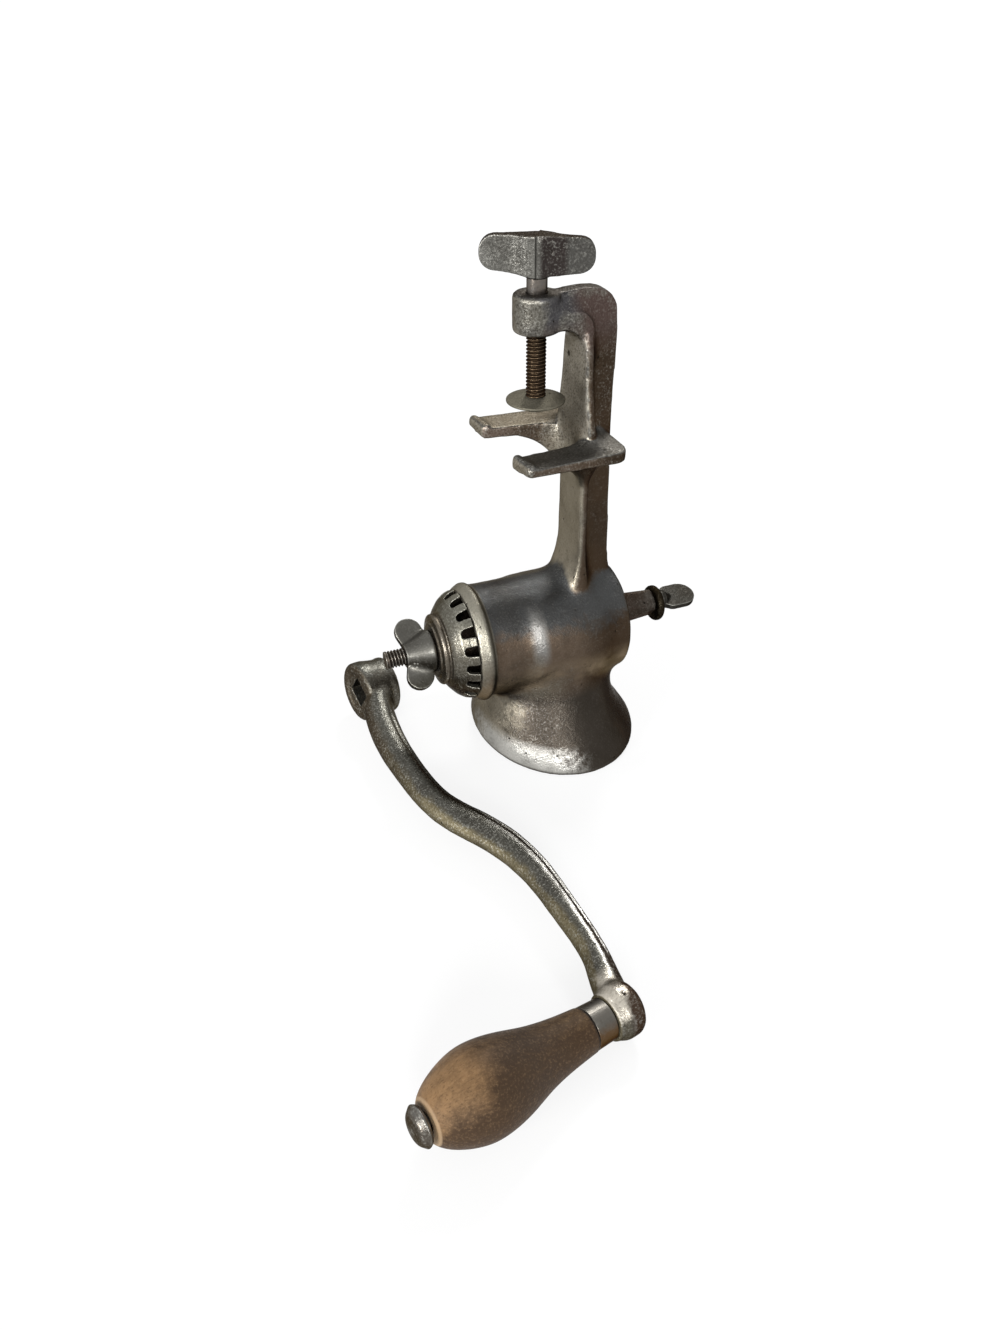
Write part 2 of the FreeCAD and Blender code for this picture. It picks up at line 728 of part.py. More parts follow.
def grip_pin():
    """Steel pin riveted in the crank's boss, with a domed head beyond the wood."""
    head = FERRULE_LENGTH + GRIP_LENGTH + 1.4
    return turned_on_grip([
        (-BOSS_LENGTH - 0.2, 0, 0),
        (-BOSS_LENGTH - 0.2, PIN_R, 0),
        (head, PIN_R, 0),
        (head, PIN_HEAD_R - 0.6, 0.3),
        (head + 1.2, PIN_HEAD_R, 0.5),
        (head + 3.4, PIN_HEAD_R - 2.0, 3.0),
        (head + 4.2, 0, 0),
    ])


pieces = {
    "body_casting": body_casting(),
    "feed_screw": feed_screw(),
    "cutter_stud": cutter_stud(),
    "rotary_cutter": rotary_cutter(),
    "cutter_wing_nut": wing_nut(),
    "thumb_screw_washer": thumb_screw_washer(),
    "crank_thumb_screw": thumb_screw(),
    "clamp_pad": clamp_pad(),
    "clamp_screw": clamp_screw(),
    "clamp_wing": clamp_wing(),
    "crank_arm": crank_arm(),
    "grip_ferrule": grip_ferrule(),
    "grip_wood": grip_wood(),
    "grip_pin": grip_pin(),
}

os.makedirs("parts", exist_ok=True)
for name, shape in pieces.items():
    shape.exportStep("parts/" + name + ".step")
    box = shape.optimalBoundingBox()
    low = [round(value, 2) for value in (box.XMin, box.YMin, box.ZMin)]
    high = [round(value, 2) for value in (box.XMax, box.YMax, box.ZMax)]
    print(name, len(shape.Solids), shape.isValid(), round(shape.Volume), low, high)
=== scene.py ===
import json
import math
import bmesh
import bpy
import numpy as np
from mathutils import Matrix, Vector, noise


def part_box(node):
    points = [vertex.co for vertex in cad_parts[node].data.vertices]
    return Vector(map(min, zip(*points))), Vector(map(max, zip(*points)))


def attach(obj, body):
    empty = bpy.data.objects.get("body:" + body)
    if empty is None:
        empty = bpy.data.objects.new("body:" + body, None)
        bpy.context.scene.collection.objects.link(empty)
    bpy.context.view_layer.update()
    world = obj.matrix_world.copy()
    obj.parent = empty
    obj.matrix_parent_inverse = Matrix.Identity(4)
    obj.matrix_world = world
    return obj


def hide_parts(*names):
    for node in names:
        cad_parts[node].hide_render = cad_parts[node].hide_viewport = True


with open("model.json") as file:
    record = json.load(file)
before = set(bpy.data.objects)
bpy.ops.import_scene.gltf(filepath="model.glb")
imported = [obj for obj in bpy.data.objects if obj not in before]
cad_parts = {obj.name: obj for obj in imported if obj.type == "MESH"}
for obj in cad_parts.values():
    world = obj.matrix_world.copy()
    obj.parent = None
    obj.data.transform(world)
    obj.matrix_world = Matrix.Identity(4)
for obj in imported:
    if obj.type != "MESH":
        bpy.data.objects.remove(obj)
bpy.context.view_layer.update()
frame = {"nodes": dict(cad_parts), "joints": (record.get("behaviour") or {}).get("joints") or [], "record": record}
scene = bpy.context.scene
scene.view_settings.view_transform = "Standard"

MM = 0.001
PITCH = 0.0254 / 18           # clamp and cutter threads, eighteen turns an inch
THREAD_DEPTH = 0.74 * MM
THUMB_PITCH = 0.00127         # thumb screw's thread, twenty turns an inch
THUMB_DEPTH = 0.55 * MM
THUMB_R = 2.9 * MM
ROWS_A_TURN = 10              # of a thread's mesh
WOOD_END = 70.8               # far end of the wood, from the crank's boss
ARM_FOOT = -160.0             # the arm's end at the boss, across the feed axis
ARM_ROOT = 12.0               # its end at the hub
PARTING_TURN = 47.0           # the mould's parting line, from the arm's top
HOPPER_X = -1                 # centre of the hopper, along the feed axis
HOPPER_TOP = 46               # height at which the hopper's mouth runs into the barrel
JOURNAL_BORE = 9.5            # radii just over those of the casting's bores
BARREL_BORE = 24.2
CLAMP_BORE = 5.4
BARREL_BACK = 26.5            # where the barrel's bore ends, along the feed axis
CLAMP_FOOT = 180              # height from which the clamp's bore runs
NUT_BORE = 4.6
SPADE_START = 14.5            # thumb screw's flat end, from the tip of its shank
SHANK_END = 15.5              # the shank runs 1 mm into it
MERGE = 0.01 * MM             # loose corners closer than this are one corner
FILL_STEP = 0.6               # share of the way to its neighbours that a corner moves in a round
FILL_REFRESH = 8              # rounds after which the directions are measured again

X_AXIS = Vector((1, 0, 0))
Z_AXIS = Vector((0, 0, 1))
joints = {joint["name"]: joint for joint in frame["joints"]}
mounts = {mount["name"]: mount for mount in frame["record"]["mounts"]}
grip_axis = Vector(joints["grip_turn"]["axis"]).normalized()
grip_start = Vector(joints["grip_turn"]["pos_m"])
grip_out = grip_axis if (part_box("grip_pin")[0] - grip_start).dot(grip_axis) > 0 else -grip_axis
hub_face = Vector(mounts["crank_socket"]["pos_m"])
WOOD_STAIN = grip_start + grip_out * (34 * MM) + Vector((2, -8, 14)) * MM


def middle(node):
    low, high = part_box(node)
    return (low + high) / 2


feed_centre = Vector((0, 0, middle("cutter_stud").z))
screw_place = middle("clamp_screw")


# Meshes

def linked(name, mesh):
    holder = bpy.data.objects.new(name, mesh)
    scene.collection.objects.link(holder)
    return holder


def smooth_shaded(mesh):
    mesh.polygons.foreach_set("use_smooth", [True] * len(mesh.polygons))


def settled(holder):
    """Gives the object the mesh that its modifiers make, and drops the modifiers."""
    graph = bpy.context.evaluated_depsgraph_get()
    mesh = bpy.data.meshes.new_from_object(holder.evaluated_get(graph))
    holder.modifiers.clear()
    holder.data = mesh
    smooth_shaded(mesh)


def corners_of(mesh):
    flat = np.empty(len(mesh.vertices) * 3)
    mesh.vertices.foreach_get("co", flat)
    return flat.reshape(-1, 3)


def normals_of(mesh):
    flat = np.empty(len(mesh.vertices) * 3)
    mesh.vertices.foreach_get("normal", flat)
    return flat.reshape(-1, 3)


def pushed_out(mesh, amounts):
    """Moves each vertex along its normal."""
    moved = corners_of(mesh) + normals_of(mesh) * amounts[:, None]
    mesh.vertices.foreach_set("co", moved.ravel())
    mesh.update()


def fillets(mesh, rounds):
    """Fills hollow creases up, as a moulder rounds them, for a number of rounds at each vertex."""
    ends = np.empty(len(mesh.edges) * 2, dtype=np.int64)
    mesh.edges.foreach_get("vertices", ends)
    first, second = ends[0::2], ends[1::2]
    places = corners_of(mesh)
    count = len(places)
    around = np.bincount(ends, minlength=count)
    for turn in range(int(rounds.max())):
        if turn % FILL_REFRESH == 0:
            mesh.vertices.foreach_set("co", places.ravel())
            mesh.update()
            normals = normals_of(mesh)
        sums = [np.bincount(first, places[second, axis], count)
                + np.bincount(second, places[first, axis], count) for axis in range(3)]
        pull = np.stack(sums, 1) / around[:, None] - places
        rise = (pull * normals).sum(1)
        active = (turn < rounds) & (rise > 0)
        places += np.where(active[:, None], pull * FILL_STEP, 0)
    mesh.vertices.foreach_set("co", places.ravel())
    mesh.update()


def off_line(places, start, axis):
    """Distance of each place from a line, in millimetres."""
    offset = places - np.array(start)
    along = offset @ np.array(axis)
    return np.linalg.norm(offset - along[:, None] * np.array(axis), axis=1) / MM


def held_inside(mesh, node):
    """Keeps the skin within the CAD piece's own box."""
    low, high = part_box(node)
    mesh.vertices.foreach_set("co", np.clip(corners_of(mesh), tuple(low), tuple(high)).ravel())
    mesh.update()


def lumps(mesh, size, seed):
    """Smooth noise from -1 to 1 at each vertex."""
    shift = Vector((seed * 3.7, seed * 1.9, seed * 5.3))
    return np.array([noise.noise(Vector(corner) / size + shift) for corner in corners_of(mesh)])


def softened(holder, voxel, rounds):
    """Remeshes a closed piece evenly and rounds its edges off."""
    remesh = holder.modifiers.new("remesh", "REMESH")
    remesh.mode = "VOXEL"
    remesh.voxel_size = voxel
    soften = holder.modifiers.new("soften", "SMOOTH")
    soften.factor = 0.5
    soften.iterations = rounds
    settled(holder)


def cast_copy(node, name, voxel, rounds):
    """Skin of a CAD piece with its edges rounded off as a casting's are."""
    holder = linked(name, frame["nodes"][node].data.copy())
    weld = holder.modifiers.new("weld", "WELD")
    weld.merge_threshold = MERGE
    softened(holder, voxel, rounds)
    return holder


def thinned(holder, share):
    """Keeps a share of the skin's faces, most of them where it bends."""
    thin = holder.modifiers.new("thin", "DECIMATE")
    thin.ratio = share
    settled(holder)


def joined(name, *holders):
    """One object of several, which are removed."""
    mesh = bpy.data.meshes.new(name)
    builder = bmesh.new()
    for holder in holders:
        builder.from_mesh(holder.data)
        bpy.data.objects.remove(holder)
    builder.to_mesh(mesh)
    builder.free()
    smooth_shaded(mesh)
    return linked(name, mesh)


def finished(holder, slot):
    """Gives the piece its one material."""
    holder.data.materials.clear()
    holder.data.materials.append(finishes[slot])


def placed(holder, body, slot, *nodes):
    """Puts the piece on its body, in place of the CAD nodes named."""
    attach(holder, body)
    finished(holder, slot)
    if nodes:
        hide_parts(*nodes)


# Nodes

def wired(tree, kind, inputs=None, **settings):
    """New node with its settings made and its inputs linked or set."""
    made = tree.nodes.new(kind)
    for name, value in settings.items():
        setattr(made, name, value)
    for name, value in (inputs or {}).items():
        socket = made.inputs[name]
        if isinstance(value, bpy.types.NodeSocket):
            tree.links.new(value, socket)
        else:
            socket.default_value = value
    return made


def maths(tree, operation, first, second=0.0):
    return wired(tree, "ShaderNodeMath", {0: first, 1: second}, operation=operation).outputs[0]


def vectors(tree, operation, first, second=(0, 0, 0)):
    made = wired(tree, "ShaderNodeVectorMath", {0: first, 1: second}, operation=operation)
    return made.outputs["Value" if operation in ("DOT_PRODUCT", "DISTANCE") else "Vector"]


def scaled(tree, vector, factor):
    made = wired(tree, "ShaderNodeVectorMath", {0: vector, "Scale": factor}, operation="SCALE")
    return made.outputs[0]


def spread(tree, value, low, high, to_low=0.0, to_high=1.0):
    """Maps low..high onto to_low..to_high, held at both ends."""
    return wired(tree, "ShaderNodeMapRange", {
        "Value": value, "From Min": low, "From Max": high,
        "To Min": to_low, "To Max": to_high}).outputs[0]


def blended(tree, share, first, second):
    """Colour that runs from the first to the second as the share rises."""
    made = wired(tree, "ShaderNodeMix", data_type="RGBA")
    for index, value in ((0, share), (6, first), (7, second)):
        if isinstance(value, bpy.types.NodeSocket):
            tree.links.new(value, made.inputs[index])
        else:
            made.inputs[index].default_value = value if index == 0 else (*value, 1.0)
    return made.outputs[2]


def clouds(tree, place, size, detail, roughness=0.6):
    """Noise whose features are size millimetres across."""
    return wired(tree, "ShaderNodeTexNoise", {
        "Vector": place, "Scale": 1.0 / (size * MM), "Detail": detail,
        "Roughness": roughness}).outputs[0]


def new_group(name, entries, results, tree_type="ShaderNodeTree"):
    tree = bpy.data.node_groups.new(name, tree_type)
    for label, kind in entries:
        tree.interface.new_socket(label, in_out="INPUT", socket_type=kind)
    for label, kind in results:
        tree.interface.new_socket(label, in_out="OUTPUT", socket_type=kind)
    return tree, tree.nodes.new("NodeGroupInput"), tree.nodes.new("NodeGroupOutput")


def finish_group(tree, outlet, values):
    for label, socket in values.items():
        tree.links.new(socket, outlet.inputs[label])
    return tree


# Turned pieces

def make_thread_cutter():
    """Cuts a winding thread into a blank that is turned about an axis. The groove is a V with a
    narrow flat at its root and crest, and it runs out over the last turn at each end."""
    tree, inlet, outlet = new_group("cut_thread", [
        ("Blank", "NodeSocketGeometry"), ("Foot", "NodeSocketVector"), ("Axis", "NodeSocketVector"),
        ("Side", "NodeSocketVector"), ("From", "NodeSocketFloat"), ("To", "NodeSocketFloat"),
        ("Pitch", "NodeSocketFloat"), ("Depth", "NodeSocketFloat"), ("Metal", "NodeSocketMaterial")],
        [("Screw", "NodeSocketGeometry")], "GeometryNodeTree")
    given = inlet.outputs
    place = tree.nodes.new("GeometryNodeInputPosition").outputs[0]
    offset = vectors(tree, "SUBTRACT", place, given["Foot"])
    along = vectors(tree, "DOT_PRODUCT", offset, given["Axis"])
    up = vectors(tree, "CROSS_PRODUCT", given["Axis"], given["Side"])
    angle = maths(tree, "ARCTAN2", vectors(tree, "DOT_PRODUCT", offset, up),
                  vectors(tree, "DOT_PRODUCT", offset, given["Side"]))
    turns = maths(tree, "SUBTRACT", maths(tree, "DIVIDE", along, given["Pitch"]),
                  maths(tree, "DIVIDE", angle, 2 * math.pi))
    from_root = maths(tree, "ABSOLUTE", maths(tree, "SUBTRACT", maths(tree, "FRACT", turns), 0.5))
    groove = spread(tree, from_root, 0.05, 0.44, 1.0, 0.0)
    from_end = maths(tree, "MINIMUM", maths(tree, "SUBTRACT", along, given["From"]),
                     maths(tree, "SUBTRACT", given["To"], along))
    run_out = spread(tree, from_end, 0.0, given["Pitch"])
    depth = maths(tree, "MULTIPLY", maths(tree, "MULTIPLY", groove, run_out), given["Depth"])
    across = vectors(tree, "SUBTRACT", offset, scaled(tree, given["Axis"], along))
    inward = scaled(tree, vectors(tree, "NORMALIZE", across), maths(tree, "MULTIPLY", depth, -1.0))
    cut = wired(tree, "GeometryNodeSetPosition", {"Geometry": given["Blank"], "Offset": inward})
    whole = wired(tree, "GeometryNodeRealizeInstances", {"Geometry": cut.outputs[0]})
    made = wired(tree, "GeometryNodeSetMaterial", {
        "Geometry": whole.outputs[0], "Material": given["Metal"]})
    return finish_group(tree, outlet, {"Screw": made.outputs[0]})


thread_cutter = make_thread_cutter()


def lathe(name, start, axis, profile, metal, thread, segments=48):
    """Threaded piece. Profile points are (along the axis, radius), in metres, and the thread is
    (from, to, pitch, depth) along the same axis."""
    first, last, pitch, depth = thread
    crest = np.interp(first, [point[0] for point in profile], [point[1] for point in profile])
    count = int((last - first) / pitch * ROWS_A_TURN)
    points = [point for point in profile if point[0] < first]
    points += [(first + (last - first) * k / count, crest) for k in range(count + 1)]
    points += [point for point in profile if point[0] > last]
    side = axis.orthogonal().normalized()
    up = axis.cross(side)
    ring = [side * math.cos(turn) + up * math.sin(turn)
            for turn in np.arange(segments) / segments * 2 * math.pi]
    corners = [start + axis * along + out * float(radius)
               for along, radius in points for out in ring]
    faces = []
    for row in range(0, (len(points) - 1) * segments, segments):
        for k in range(segments):
            after = (k + 1) % segments
            faces.append((row + k, row + after, row + segments + after, row + segments + k))
    faces.append(tuple(reversed(range(segments))))
    faces.append(tuple(range((len(points) - 1) * segments, len(points) * segments)))
    mesh = bpy.data.meshes.new(name)
    mesh.from_pydata(corners, [], faces)
    holder = linked(name, mesh)
    cutting = holder.modifiers.new("thread", "NODES")
    cutting.node_group = thread_cutter
    values = {"Foot": tuple(start), "Axis": tuple(axis), "Side": tuple(side), "From": first,
              "To": last, "Pitch": pitch, "Depth": depth, "Metal": finishes[metal]}
    for socket in thread_cutter.interface.items_tree:
        if socket.name in values:
            cutting[socket.identifier] = values[socket.name]
    settled(holder)
    return holder


# Materials

def make_patina():
    """Tarnish, mottling, grain, pits and worn edges, the way each surface faces and its place."""
    names = ("Blotch", "Mottle", "Grain", "Pits", "Edge", "Cavity", "Up", "Front", "Side", "Quarter",
             "Along", "Across", "Height")
    tree, _, outlet = new_group("patina", [], [(name, "NodeSocketFloat") for name in names])
    coords = tree.nodes.new("ShaderNodeTexCoord")
    place = coords.outputs["Object"]
    blotch = spread(tree, clouds(tree, place, 19, 4), 0.36, 0.64)
    mottle = spread(tree, clouds(tree, place, 3.2, 6, 0.72), 0.34, 0.66)
    grain = spread(tree, clouds(tree, place, 0.8, 3, 0.6), 0.3, 0.7)
    cells = wired(tree, "ShaderNodeTexVoronoi", {"Vector": place, "Scale": 1.0 / (3.4 * MM)})
    rare = spread(tree, clouds(tree, place, 7.0, 3), 0.56, 0.66)
    ragged = maths(tree, "MULTIPLY_ADD", grain, 0.12)
    ragged.node.inputs[2].default_value = -0.06
    hole = spread(tree, maths(tree, "ADD", cells.outputs["Distance"], ragged), 0.08, 0.22, 1.0, 0.0)
    pits = maths(tree, "MULTIPLY", hole, rare)
    shape = tree.nodes.new("ShaderNodeNewGeometry")
    edge = spread(tree, shape.outputs["Pointiness"], 0.51, 0.57)
    # Hollows, which the materials darken as dirt and as painted shade in creases.
    cavity = spread(tree, shape.outputs["Pointiness"], 0.49, 0.43)
    wander = maths(tree, "MULTIPLY_ADD", maths(tree, "ADD", blotch, mottle), 0.16)
    wander.node.inputs[2].default_value = -0.16
    # Which way each surface faces, which the materials' tints use to paint light, shade and reflection.
    facing = wired(tree, "ShaderNodeSeparateXYZ", {0: coords.outputs["Normal"]}).outputs
    up = maths(tree, "ADD", facing["Z"], wander)
    front = maths(tree, "SUBTRACT", wander, facing["X"])
    side = maths(tree, "SUBTRACT", wander, facing["Y"])
    quarter = maths(tree, "MULTIPLY", maths(tree, "ADD", front, side), 0.7071)
    where = wired(tree, "ShaderNodeSeparateXYZ", {0: place}).outputs
    return finish_group(tree, outlet, {
        "Blotch": blotch, "Mottle": mottle, "Grain": grain, "Pits": pits, "Edge": edge,
        "Cavity": cavity, "Up": up, "Front": front, "Side": side, "Quarter": quarter,
        "Along": where["X"], "Across": where["Y"], "Height": where["Z"]})


def make_relief():
    """Sand-cast or worn surface as a normal, from the patina's own values."""
    tree, inlet, outlet = new_group("relief", [
        ("Mottle", "NodeSocketFloat"), ("Grain", "NodeSocketFloat"), ("Pits", "NodeSocketFloat"),
        ("Coarse", "NodeSocketFloat"), ("Fine", "NodeSocketFloat")], [("Normal", "NodeSocketVector")])
    coarse = wired(tree, "ShaderNodeBump", {
        "Strength": inlet.outputs["Coarse"], "Distance": 0.4 * MM, "Height": inlet.outputs["Mottle"]})
    fine = wired(tree, "ShaderNodeBump", {
        "Strength": inlet.outputs["Fine"], "Distance": 0.2 * MM, "Height": inlet.outputs["Grain"],
        "Normal": coarse.outputs["Normal"]})
    sunk = wired(tree, "ShaderNodeBump", {
        "Strength": 0.8, "Distance": 0.35 * MM, "Height": inlet.outputs["Pits"],
        "Normal": fine.outputs["Normal"]}, invert=True)
    return finish_group(tree, outlet, {"Normal": sunk.outputs["Normal"]})


patina = make_patina()
relief = make_relief()


def new_material(name):
    material = bpy.data.materials.new(name)
    material.use_nodes = True
    return material, material.node_tree, material.node_tree.nodes["Principled BSDF"]


def tinted(tree, marks, colour, tints):
    """Colours laid over one another. Each holds where a mark rises from one value to another,
    and some only in zones along the axes, in millimetres:
    (mark, from, to, colour, axis, from, to, ...)."""
    for label, low, high, tint, *zones in tints:
        share = spread(tree, marks[label], low, high)
        for axis, start, end in zip(zones[0::3], zones[1::3], zones[2::3]):
            share = maths(tree, "MULTIPLY", share, spread(tree, marks[axis], start * MM, end * MM))
        colour = blended(tree, share, colour, tint)
    return colour


def worn_metal(name, body, tints=(), bright=(0.42, 0.41, 0.37), dark=(0.02, 0.016, 0.012),
               spark=0.5, speck=0.5, coarse=0.15, fine=0.25, rough=0.32, metallic=0.95,
               edge_gain=0.4, shaded=0.3, lively=None, holes=(), dull=("Up", 0.5, 0.9, 0.1)):
    """Old metal: body colour and tints, the tints of these finishes mostly painted light, shade and
    reflection laid by the way a surface faces and its place, dark tarnish, bright sparks and dark
    specks in the grain, most of them where it faces the window or lies above a height in
    millimetres, the sparks being painted glints, broken bright edges, dirt and painted shade in
    hollows, dirt in single blow holes (x, y, z, radius in millimetres), a painted dark outline at
    grazing angles, and duller where a mark rises from one value to another."""
    material, tree, shader = new_material(name)
    marks = wired(tree, "ShaderNodeGroup", node_tree=patina).outputs
    colour = tinted(tree, marks, body, tints)
    colour = blended(tree, spread(tree, marks["Blotch"], 0.35, 1.0, 0.0, 0.35), colour, dark)
    lit = spread(tree, marks["Front"], -0.1, 0.5, shaded, 1.0)
    if lively:
        above = spread(tree, marks["Height"], lively * MM, (lively + 10) * MM, 0.0, 3.0)
        above = maths(tree, "MULTIPLY", above, spread(tree, marks["Front"], -0.2, 0.3, 0.35, 1.0))
        lit = maths(tree, "MAXIMUM", lit, above)
    # Painted glints, bright sparks in the grain, strongest where the surface faces the window.
    painted_glints = maths(tree, "MULTIPLY", spread(tree, marks["Mottle"], 0.3, 0.9, 0.2, 1.0),
                  spread(tree, marks["Grain"], 0.52, 0.85, 0.0, spark))
    colour = blended(tree, maths(tree, "MULTIPLY", painted_glints, lit), colour, bright)
    specks = spread(tree, marks["Grain"], 0.42, 0.12, 0.0, speck)
    colour = blended(tree, maths(tree, "MULTIPLY", specks, lit), colour, dark)
    worn = spread(tree, marks["Mottle"], 0.15, 0.75, 0.25 * edge_gain, edge_gain)
    colour = blended(tree, maths(tree, "MULTIPLY", marks["Edge"], worn), colour, bright)
    # Dirt in pits and blow holes, and painted shade in hollow creases.
    grime_and_crease_shade = maths(tree, "MAXIMUM", marks["Pits"], maths(tree, "MULTIPLY", marks["Cavity"], 0.8))
    place = tree.nodes.new("ShaderNodeTexCoord").outputs["Object"]
    for *spot, radius in holes:
        reach = vectors(tree, "DISTANCE", place, [value * MM for value in spot])
        sunk = spread(tree, reach, radius * MM, 0.4 * radius * MM, 0.0, 0.85)
        grime_and_crease_shade = maths(tree, "MAXIMUM", grime_and_crease_shade, sunk)
    colour = blended(tree, grime_and_crease_shade, colour, (0.014, 0.011, 0.008))
    # Painted shade, darker towards grazing angles, a dark outline at the silhouette.
    facing = wired(tree, "ShaderNodeLayerWeight", {"Blend": 0.35}).outputs["Facing"]
    colour = blended(tree, spread(tree, facing, 0.3, 1.0, 0.0, 0.5), colour, (0.01, 0.008, 0.007))
    tree.links.new(colour, shader.inputs["Base Color"])
    shader.inputs["Metallic"].default_value = metallic
    shader.inputs["Specular Tint"].default_value = (0.35, 0.33, 0.3, 1.0)
    gloss = spread(tree, marks["Mottle"], 0.0, 1.0, rough + 0.08, rough - 0.04)
    mark, low, high, more = dull
    gloss = maths(tree, "ADD", gloss, spread(tree, marks[mark], low, high, 0.0, more))
    gloss = maths(tree, "ADD", gloss, maths(tree, "MULTIPLY", grime_and_crease_shade, 0.3))
    tree.links.new(gloss, shader.inputs["Roughness"])
    bump = wired(tree, "ShaderNodeGroup", {
        "Mottle": marks["Mottle"], "Grain": marks["Grain"], "Pits": marks["Pits"],
        "Coarse": coarse, "Fine": fine}, node_tree=relief)
    tree.links.new(bump.outputs["Normal"], shader.inputs["Normal"])
    return material


def oiled_wood(name):
    """Dark oiled hardwood: fine grain along the grip, a stain in the middle, painted shade where
    it turns down and away from the window and in the gap at the ferrule, and a pale worn rim."""
    material, tree, shader = new_material(name)
    marks = wired(tree, "ShaderNodeGroup", node_tree=patina).outputs
    place = tree.nodes.new("ShaderNodeTexCoord").outputs["Object"]
    offset = vectors(tree, "SUBTRACT", place, tuple(grip_start))
    along = vectors(tree, "DOT_PRODUCT", offset, tuple(grip_out))
    run = scaled(tree, tuple(grip_out), maths(tree, "MULTIPLY", along, 0.88))
    squeezed = vectors(tree, "SUBTRACT", offset, run)
    pores = spread(tree, clouds(tree, squeezed, 0.55, 3), 0.42, 0.68)
    streaks = spread(tree, clouds(tree, squeezed, 2.4, 4), 0.35, 0.65)
    length = WOOD_END * MM
    colour = blended(tree, spread(tree, along, 0.30 * length, 0.62 * length),
                     (0.145, 0.088, 0.040), (0.190, 0.112, 0.054))
    # Painted shade, darker where the grip turns down and away from the window.
    toward_light = maths(tree, "MULTIPLY", maths(tree, "ADD", marks["Up"], marks["Front"]), 0.6)
    colour = blended(tree, spread(tree, toward_light, 0.74, 0.34), colour, (0.040, 0.023, 0.012))
    near = spread(tree, vectors(tree, "DISTANCE", place, tuple(WOOD_STAIN)), 21 * MM, 7 * MM, 0.0, 0.8)
    stain = maths(tree, "MULTIPLY", near, spread(tree, marks["Blotch"], 0.0, 0.7, 0.55, 1.0))
    flecks = spread(tree, marks["Grain"], 0.55, 0.95, 0.0, 0.16)
    # Painted shade in the gap where the wood meets the ferrule.
    ferrule_gap_shade = spread(tree, along, 9.6 * MM, 8.9 * MM, 0.0, 0.92)
    worn_rim = spread(tree, along, length - 0.6 * MM, length - 0.25 * MM, 0.0, 0.5)
    for share, tint in (
            (stain, (0.045, 0.030, 0.020)),
            (spread(tree, streaks, 0.3, 1.0, 0.0, 0.4), (0.06, 0.036, 0.019)),
            (spread(tree, pores, 0.5, 1.0, 0.0, 0.45), (0.035, 0.020, 0.011)),
            (flecks, (0.30, 0.19, 0.10)),
            (ferrule_gap_shade, (0.008, 0.006, 0.005)),
            (worn_rim, (0.36, 0.26, 0.16))):
        colour = blended(tree, share, colour, tint)
    tree.links.new(colour, shader.inputs["Base Color"])
    tree.links.new(spread(tree, marks["Mottle"], 0.0, 1.0, 0.62, 0.48), shader.inputs["Roughness"])
    shader.inputs["Specular IOR Level"].default_value = 0.12
    bump = wired(tree, "ShaderNodeBump", {
        "Strength": 0.25, "Distance": 0.2 * MM, "Height": pores}, invert=True)
    tree.links.new(bump.outputs["Normal"], shader.inputs["Normal"])
    return material


IRON_SIDE = (0.098, 0.072, 0.052)      # brown body colour, and painted reflection where the casting faces the near side
IRON_SHADED = (0.045, 0.030, 0.019)      # painted shade, where the casting faces away from the window towards the crank shaft, and on its near side at the back
IRON_WINDOW_LIT = (0.225, 0.200, 0.155)     # painted light, light olive grey where the casting faces the window, towards the cutter's end
IRON_PALE_LIT = (0.30, 0.275, 0.23)        # painted light on the post's front, between jaw and yoke
IRON_UNDER_LIT = (0.200, 0.155, 0.105)     # painted light, lighter brown where the casting faces down under the barrel and lies in shade
SLATE_REFLECTION = (0.056, 0.057, 0.057)          # painted reflection, dark slate where the barrel and hopper face up
SWELL_HIGHLIGHT = (0.175, 0.170, 0.160)          # painted highlight, pale patch on the barrel's near side
HOPPER_SHADE = (0.038, 0.032, 0.026)         # painted shade, dull between the neck and the lip where the window's highlight falls
JAW_NEAR_TOP_LIT = (0.112, 0.107, 0.097)       # painted light on the tops of the jaw's two prongs
JAW_FAR_TOP_LIT = (0.165, 0.143, 0.110)
# Painted reflection on the yoke where it faces up and sideways.
YOKE_TOP_REFLECTION = (0.085, 0.080, 0.077)
YOKE_SIDE_REFLECTION = (0.062, 0.060, 0.063)
YOKE_BEND_REFLECTION = (0.078, 0.054, 0.047)      # painted reflection, brown outside the yoke's bend
BEAD_TOP_LIT = (0.235, 0.221, 0.181)           # painted light, pale where the rim round the barrel's mouth faces up
LIP_HIGHLIGHT = (0.44, 0.43, 0.40)               # painted highlight on the hopper's lip
ARM_RIDGE_HIGHLIGHT = (0.43, 0.42, 0.39)             # painted highlight along the crank's arm
